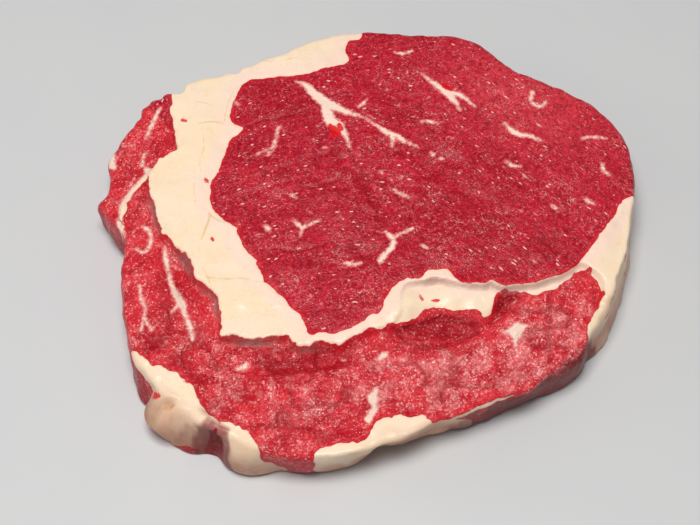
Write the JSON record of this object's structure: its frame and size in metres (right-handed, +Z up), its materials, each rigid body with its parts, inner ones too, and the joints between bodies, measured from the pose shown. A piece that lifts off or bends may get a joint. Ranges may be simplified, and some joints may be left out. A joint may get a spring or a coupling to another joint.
{
  "type": "raw ribeye steak",
  "caption": "Raw boneless ribeye steak lying flat: round eye muscle, curved cap muscle, thick seam of cream fat and a fat edge, with light marbling.",
  "frame": {"origin": "bottom centre of the steak's box, on the surface it lies on", "axes": "+X along the steak's length, towards the rounded end of the eye muscle; +Y across it, away from the cap muscle; +Z up, out of the cut face"},
  "size_m": [0.1732, 0.1552, 0.0232],
  "materials": {
    "raw_meat": "moist raw beef: crimson muscle, cream fat, fine white marbling"
  },
  "bodies": {
    "root": {"steak": "raw_meat"}
  },
  "joints": []
}
